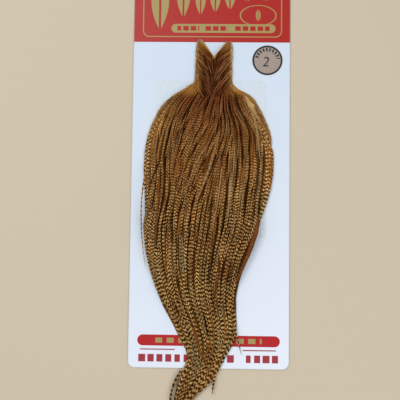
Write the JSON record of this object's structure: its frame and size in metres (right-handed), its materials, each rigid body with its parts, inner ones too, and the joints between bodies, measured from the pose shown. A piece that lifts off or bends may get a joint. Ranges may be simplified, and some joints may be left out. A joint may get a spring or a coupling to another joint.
{
  "type": "dry fly hackle cape",
  "caption": "Rooster neck cape of barred dry-fly hackle glued to a flat display card, with overlapping feather rows that lift at their roots.",
  "frame": {"origin": "centre of the card's back face", "axes": "+Z out of the card on the feather side, +Y to the printed header and hang hole, +X to the right as the card is read"},
  "size_m": [0.127, 0.374, 0.0102],
  "materials": {
    "card_stock": "smooth printed board, pale blue, with a red header",
    "film": "clear double-sided film",
    "sticker_paper": "satin sticker paper with a dark ring",
    "dried_skin": "dry, translucent, untanned skin",
    "edge_down": "soft tan down",
    "neck_hackle": "fine glossy mahogany barbs",
    "cape_hackle": "glossy barred ginger and brown barbs",
    "tail_hackle": "long glossy barbs, tan barred with dark brown",
    "spade_hackle": "wide glossy barbs, golden with brown bars"
  },
  "bodies": {
    "card": {"backing_card": "card_stock", "mounting_film": "film", "grade_sticker": "sticker_paper", "cape_skin": "dried_skin", "left_edge_down": "edge_down", "right_edge_down": "edge_down"},
    "left_spades": {"left_spade_hackles": "spade_hackle"},
    "right_spades": {"right_spade_hackles": "spade_hackle"},
    "ears": {"ear_hackles": "neck_hackle"},
    "streamer": {"streamer_hackles": "tail_hackle"},
    "size_6": {"size_6_hackles": "tail_hackle"},
    "size_8": {"size_8_hackles": "tail_hackle"},
    "size_10": {"size_10_hackles": "cape_hackle"},
    "size_12": {"size_12_hackles": "cape_hackle"},
    "size_14": {"size_14_hackles": "cape_hackle"},
    "size_16": {"size_16_hackles": "cape_hackle"},
    "size_18": {"size_18_hackles": "cape_hackle"},
    "size_20": {"size_20_hackles": "cape_hackle"},
    "size_22": {"size_22_hackles": "neck_hackle"},
    "size_24": {"size_24_hackles": "neck_hackle"},
    "size_26": {"size_26_hackles": "neck_hackle"},
    "crown": {"crown_hackles": "neck_hackle"}
  },
  "joints": [
    {"name": "left_spade_lift", "type": "hinge", "parent": "card", "child": "left_spades", "pos_m": [0, 0.034, 0.0027], "axis": [-1, 0, 0], "range_deg": [0, 45]},
    {"name": "right_spade_lift", "type": "hinge", "parent": "card", "child": "right_spades", "pos_m": [0, 0.034, 0.0027], "axis": [-1, 0, 0], "range_deg": [0, 45]},
    {"name": "streamer_lift", "type": "hinge", "parent": "card", "child": "streamer", "pos_m": [0, -0.05002, 0.0027], "axis": [-1, 0, 0], "range_deg": [0, 45]},
    {"name": "size_6_lift", "type": "hinge", "parent": "card", "child": "size_6", "pos_m": [0, -0.0343, 0.0027], "axis": [-1, 0, 0], "range_deg": [0, 45]},
    {"name": "size_8_lift", "type": "hinge", "parent": "card", "child": "size_8", "pos_m": [0, -0.0194, 0.0027], "axis": [-1, 0, 0], "range_deg": [0, 45]},
    {"name": "size_10_lift", "type": "hinge", "parent": "card", "child": "size_10", "pos_m": [0, -0.00532, 0.0027], "axis": [-1, 0, 0], "range_deg": [0, 45]},
    {"name": "size_12_lift", "type": "hinge", "parent": "card", "child": "size_12", "pos_m": [0, 0.00794, 0.0027], "axis": [-1, 0, 0], "range_deg": [0, 45]},
    {"name": "size_14_lift", "type": "hinge", "parent": "card", "child": "size_14", "pos_m": [0, 0.02038, 0.0027], "axis": [-1, 0, 0], "range_deg": [0, 45]},
    {"name": "size_16_lift", "type": "hinge", "parent": "card", "child": "size_16", "pos_m": [0, 0.032, 0.0027], "axis": [-1, 0, 0], "range_deg": [0, 45]},
    {"name": "size_18_lift", "type": "hinge", "parent": "card", "child": "size_18", "pos_m": [0, 0.0428, 0.0027], "axis": [-1, 0, 0], "range_deg": [0, 45]},
    {"name": "size_20_lift", "type": "hinge", "parent": "card", "child": "size_20", "pos_m": [0, 0.05278, 0.0027], "axis": [-1, 0, 0], "range_deg": [0, 45]},
    {"name": "size_22_lift", "type": "hinge", "parent": "card", "child": "size_22", "pos_m": [0, 0.06194, 0.0027], "axis": [-1, 0, 0], "range_deg": [0, 45]},
    {"name": "size_24_lift", "type": "hinge", "parent": "card", "child": "size_24", "pos_m": [0, 0.07028, 0.0027], "axis": [-1, 0, 0], "range_deg": [0, 45]},
    {"name": "size_26_lift", "type": "hinge", "parent": "card", "child": "size_26", "pos_m": [0, 0.0778, 0.0027], "axis": [-1, 0, 0], "range_deg": [0, 45]},
    {"name": "crown_lift", "type": "hinge", "parent": "card", "child": "crown", "pos_m": [0, 0.0845, 0.0027], "axis": [-1, 0, 0], "range_deg": [0, 45]},
    {"name": "ear_lift", "type": "hinge", "parent": "card", "child": "ears", "pos_m": [0, 0.0935, 0.0027], "axis": [-1, 0, 0], "range_deg": [0, 45]}
  ],
  "couplings": [
    {"joint": "size_6_lift", "follows": "streamer_lift", "ratio": 1},
    {"joint": "size_8_lift", "follows": "streamer_lift", "ratio": 1},
    {"joint": "size_10_lift", "follows": "streamer_lift", "ratio": 1},
    {"joint": "size_12_lift", "follows": "streamer_lift", "ratio": 1},
    {"joint": "size_14_lift", "follows": "streamer_lift", "ratio": 1},
    {"joint": "size_16_lift", "follows": "streamer_lift", "ratio": 1},
    {"joint": "size_18_lift", "follows": "streamer_lift", "ratio": 1},
    {"joint": "size_20_lift", "follows": "streamer_lift", "ratio": 1},
    {"joint": "size_22_lift", "follows": "streamer_lift", "ratio": 1},
    {"joint": "size_24_lift", "follows": "streamer_lift", "ratio": 1},
    {"joint": "size_26_lift", "follows": "streamer_lift", "ratio": 1},
    {"joint": "crown_lift", "follows": "streamer_lift", "ratio": 1},
    {"joint": "ear_lift", "follows": "streamer_lift", "ratio": 1}
  ]
}
